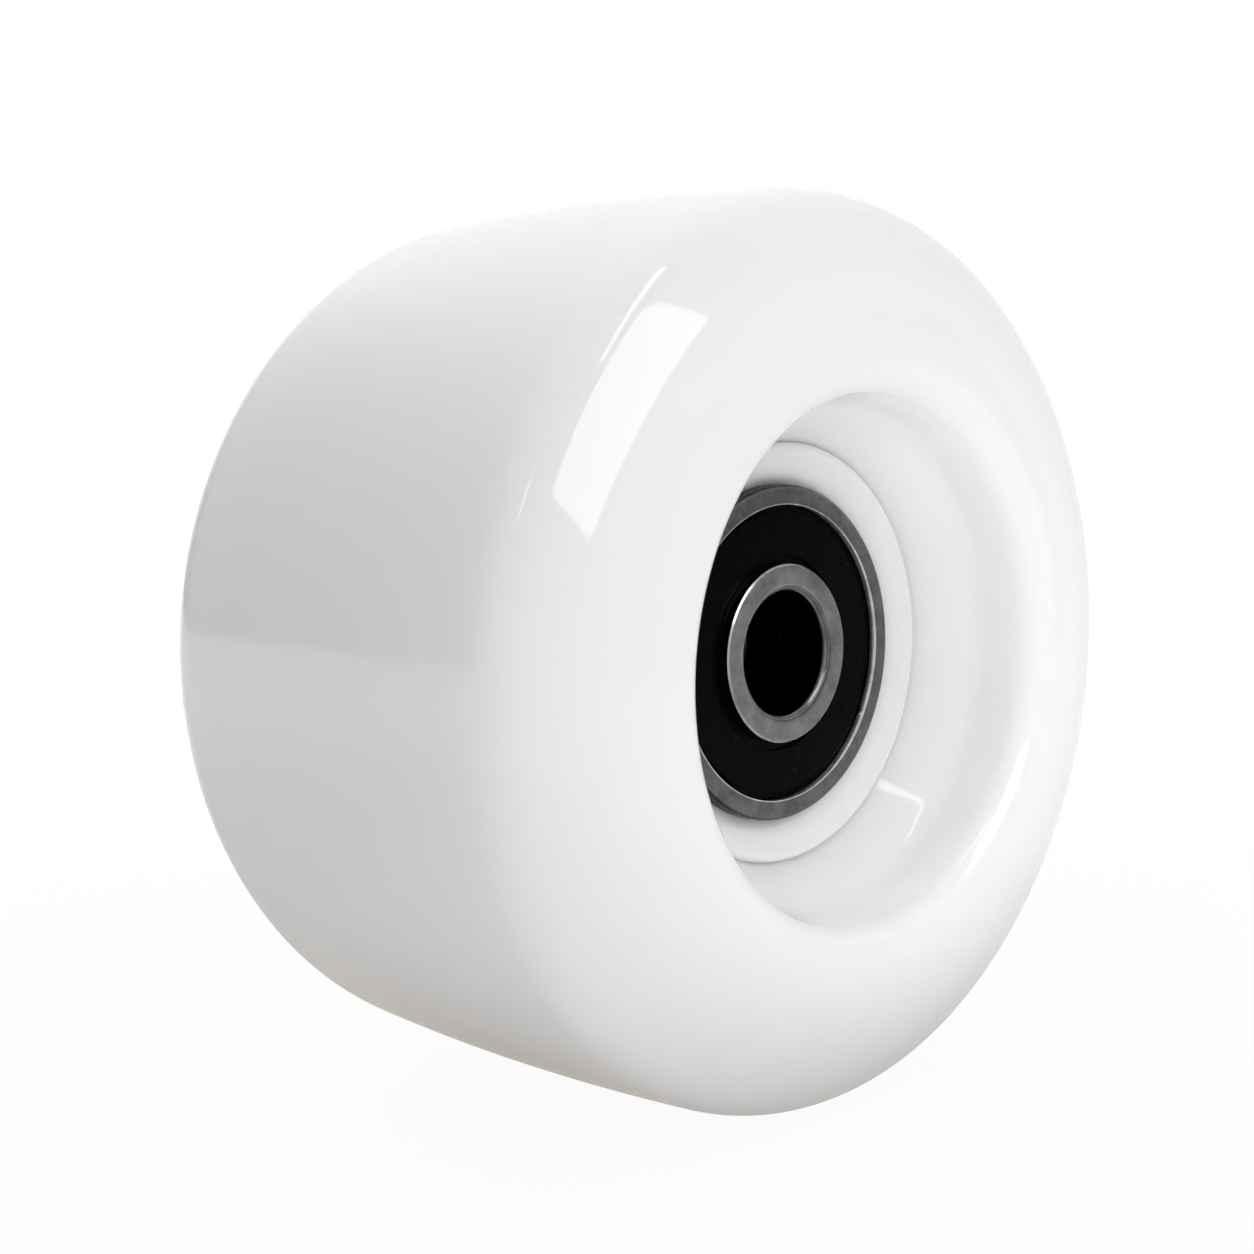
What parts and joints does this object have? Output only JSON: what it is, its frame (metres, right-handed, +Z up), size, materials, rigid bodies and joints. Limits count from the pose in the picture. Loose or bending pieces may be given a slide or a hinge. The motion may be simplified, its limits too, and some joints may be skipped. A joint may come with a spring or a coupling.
{
  "type": "roller skate wheel",
  "caption": "White urethane roller skate wheel with round shoulders and a flared hollow on each side, on a moulded hub with sealed ball bearings and an axle spacer.",
  "frame": {"origin": "middle of the wheel, on the axle line", "axes": "+Y along the axle line from the front face to the rear face, +Z up, +X to the right seen from the front"},
  "size_m": [0.06, 0.0396, 0.06],
  "materials": {
    "urethane": "gloss white cast urethane",
    "hub_plastic": "white moulded nylon",
    "spacer_metal": "black oxide steel",
    "ring_steel": "ground bearing steel",
    "seal_rubber": "satin black nitrile",
    "plate_steel": "sheet steel",
    "cage_steel": "pressed sheet steel",
    "ball_steel": "polished bearing steel"
  },
  "bodies": {
    "axle_set": {"front_inner_ring": "ring_steel", "rear_inner_ring": "ring_steel", "axle_spacer": "spacer_metal"},
    "wheel": {"tyre": "urethane", "hub": "hub_plastic", "front_outer_ring": "ring_steel", "front_outside_seal": "seal_rubber", "front_outside_seal_plate": "plate_steel", "front_inside_seal": "seal_rubber", "front_inside_seal_plate": "plate_steel", "rear_outer_ring": "ring_steel", "rear_outside_seal": "seal_rubber", "rear_outside_seal_plate": "plate_steel", "rear_inside_seal": "seal_rubber", "rear_inside_seal_plate": "plate_steel"},
    "front_cage": {"front_cage_outside_half": "cage_steel", "front_cage_inside_half": "cage_steel", "front_cage_rivets": "cage_steel"},
    "front_ball_1": {"front_ball_1": "ball_steel"},
    "front_ball_2": {"front_ball_2": "ball_steel"},
    "front_ball_3": {"front_ball_3": "ball_steel"},
    "front_ball_4": {"front_ball_4": "ball_steel"},
    "front_ball_5": {"front_ball_5": "ball_steel"},
    "front_ball_6": {"front_ball_6": "ball_steel"},
    "front_ball_7": {"front_ball_7": "ball_steel"},
    "rear_cage": {"rear_cage_outside_half": "cage_steel", "rear_cage_inside_half": "cage_steel", "rear_cage_rivets": "cage_steel"},
    "rear_ball_1": {"rear_ball_1": "ball_steel"},
    "rear_ball_2": {"rear_ball_2": "ball_steel"},
    "rear_ball_3": {"rear_ball_3": "ball_steel"},
    "rear_ball_4": {"rear_ball_4": "ball_steel"},
    "rear_ball_5": {"rear_ball_5": "ball_steel"},
    "rear_ball_6": {"rear_ball_6": "ball_steel"},
    "rear_ball_7": {"rear_ball_7": "ball_steel"}
  },
  "joints": [
    {"name": "wheel_spin", "type": "hinge", "parent": "axle_set", "child": "wheel", "pos_m": [0, 0, 0], "axis": [0, 1, 0], "continuous": true},
    {"name": "front_cage_turn", "type": "hinge", "parent": "axle_set", "child": "front_cage", "pos_m": [0, -0.0075, 0], "axis": [0, 1, 0], "continuous": true},
    {"name": "front_ball_1_spin", "type": "hinge", "parent": "front_cage", "child": "front_ball_1", "pos_m": [0, -0.0075, 0.0075], "axis": [0, 1, 0], "continuous": true},
    {"name": "front_ball_2_spin", "type": "hinge", "parent": "front_cage", "child": "front_ball_2", "pos_m": [-0.00586, -0.0075, 0.00468], "axis": [0, 1, 0], "continuous": true},
    {"name": "front_ball_3_spin", "type": "hinge", "parent": "front_cage", "child": "front_ball_3", "pos_m": [-0.00731, -0.0075, -0.00167], "axis": [0, 1, 0], "continuous": true},
    {"name": "front_ball_4_spin", "type": "hinge", "parent": "front_cage", "child": "front_ball_4", "pos_m": [-0.00325, -0.0075, -0.00676], "axis": [0, 1, 0], "continuous": true},
    {"name": "front_ball_5_spin", "type": "hinge", "parent": "front_cage", "child": "front_ball_5", "pos_m": [0.00325, -0.0075, -0.00676], "axis": [0, 1, 0], "continuous": true},
    {"name": "front_ball_6_spin", "type": "hinge", "parent": "front_cage", "child": "front_ball_6", "pos_m": [0.00731, -0.0075, -0.00167], "axis": [0, 1, 0], "continuous": true},
    {"name": "front_ball_7_spin", "type": "hinge", "parent": "front_cage", "child": "front_ball_7", "pos_m": [0.00586, -0.0075, 0.00468], "axis": [0, 1, 0], "continuous": true},
    {"name": "rear_cage_turn", "type": "hinge", "parent": "axle_set", "child": "rear_cage", "pos_m": [0, 0.0075, 0], "axis": [0, 1, 0], "continuous": true},
    {"name": "rear_ball_1_spin", "type": "hinge", "parent": "rear_cage", "child": "rear_ball_1", "pos_m": [0, 0.0075, -0.0075], "axis": [0, 1, 0], "continuous": true},
    {"name": "rear_ball_2_spin", "type": "hinge", "parent": "rear_cage", "child": "rear_ball_2", "pos_m": [-0.00586, 0.0075, -0.00468], "axis": [0, 1, 0], "continuous": true},
    {"name": "rear_ball_3_spin", "type": "hinge", "parent": "rear_cage", "child": "rear_ball_3", "pos_m": [-0.00731, 0.0075, 0.00167], "axis": [0, 1, 0], "continuous": true},
    {"name": "rear_ball_4_spin", "type": "hinge", "parent": "rear_cage", "child": "rear_ball_4", "pos_m": [-0.00325, 0.0075, 0.00676], "axis": [0, 1, 0], "continuous": true},
    {"name": "rear_ball_5_spin", "type": "hinge", "parent": "rear_cage", "child": "rear_ball_5", "pos_m": [0.00325, 0.0075, 0.00676], "axis": [0, 1, 0], "continuous": true},
    {"name": "rear_ball_6_spin", "type": "hinge", "parent": "rear_cage", "child": "rear_ball_6", "pos_m": [0.00731, 0.0075, 0.00167], "axis": [0, 1, 0], "continuous": true},
    {"name": "rear_ball_7_spin", "type": "hinge", "parent": "rear_cage", "child": "rear_ball_7", "pos_m": [0.00586, 0.0075, -0.00468], "axis": [0, 1, 0], "continuous": true}
  ],
  "couplings": [
    {"joint": "front_cage_turn", "follows": "wheel_spin", "ratio": 0.6323},
    {"joint": "front_ball_1_spin", "follows": "wheel_spin", "ratio": 1.7573},
    {"joint": "front_ball_2_spin", "follows": "wheel_spin", "ratio": 1.7573},
    {"joint": "front_ball_3_spin", "follows": "wheel_spin", "ratio": 1.7573},
    {"joint": "front_ball_4_spin", "follows": "wheel_spin", "ratio": 1.7573},
    {"joint": "front_ball_5_spin", "follows": "wheel_spin", "ratio": 1.7573},
    {"joint": "front_ball_6_spin", "follows": "wheel_spin", "ratio": 1.7573},
    {"joint": "front_ball_7_spin", "follows": "wheel_spin", "ratio": 1.7573},
    {"joint": "rear_cage_turn", "follows": "wheel_spin", "ratio": 0.6323},
    {"joint": "rear_ball_1_spin", "follows": "wheel_spin", "ratio": 1.7573},
    {"joint": "rear_ball_2_spin", "follows": "wheel_spin", "ratio": 1.7573},
    {"joint": "rear_ball_3_spin", "follows": "wheel_spin", "ratio": 1.7573},
    {"joint": "rear_ball_4_spin", "follows": "wheel_spin", "ratio": 1.7573},
    {"joint": "rear_ball_5_spin", "follows": "wheel_spin", "ratio": 1.7573},
    {"joint": "rear_ball_6_spin", "follows": "wheel_spin", "ratio": 1.7573},
    {"joint": "rear_ball_7_spin", "follows": "wheel_spin", "ratio": 1.7573}
  ]
}
